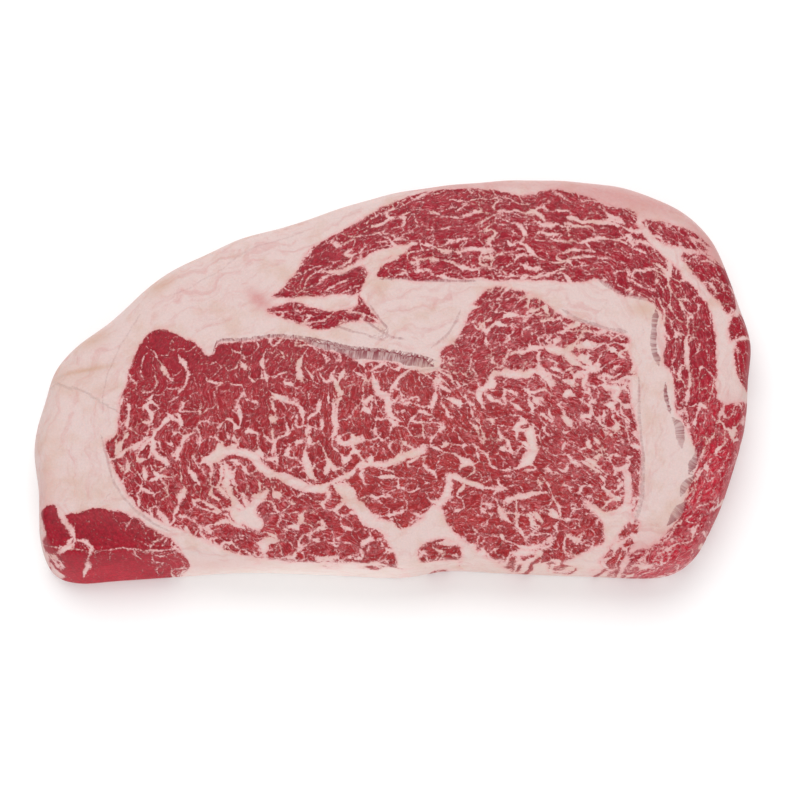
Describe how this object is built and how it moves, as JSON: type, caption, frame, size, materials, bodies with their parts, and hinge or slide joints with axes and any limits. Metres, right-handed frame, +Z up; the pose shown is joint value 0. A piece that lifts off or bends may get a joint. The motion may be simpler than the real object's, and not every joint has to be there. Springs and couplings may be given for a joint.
{
  "type": "raw beef steak",
  "caption": "Raw, heavily marbled rib-eye beef steak: a thick slab with a rounded fat rim, a large eye muscle and a cap muscle curving round it, lying flat.",
  "frame": {"origin": "middle of the underside, on the surface that the steak lies on", "axes": "+X along the length, towards the end where the cap muscle turns; +Y across, towards the curved far rim; +Z up, out of the cut face"},
  "size_m": [0.244, 0.139, 0.0255],
  "materials": {
    "raw_beef": "moist raw beef, crimson lean finely marbled with pale pink fat, broad cream fat rim"
  },
  "bodies": {
    "root": {"steak": "raw_beef"}
  },
  "joints": []
}
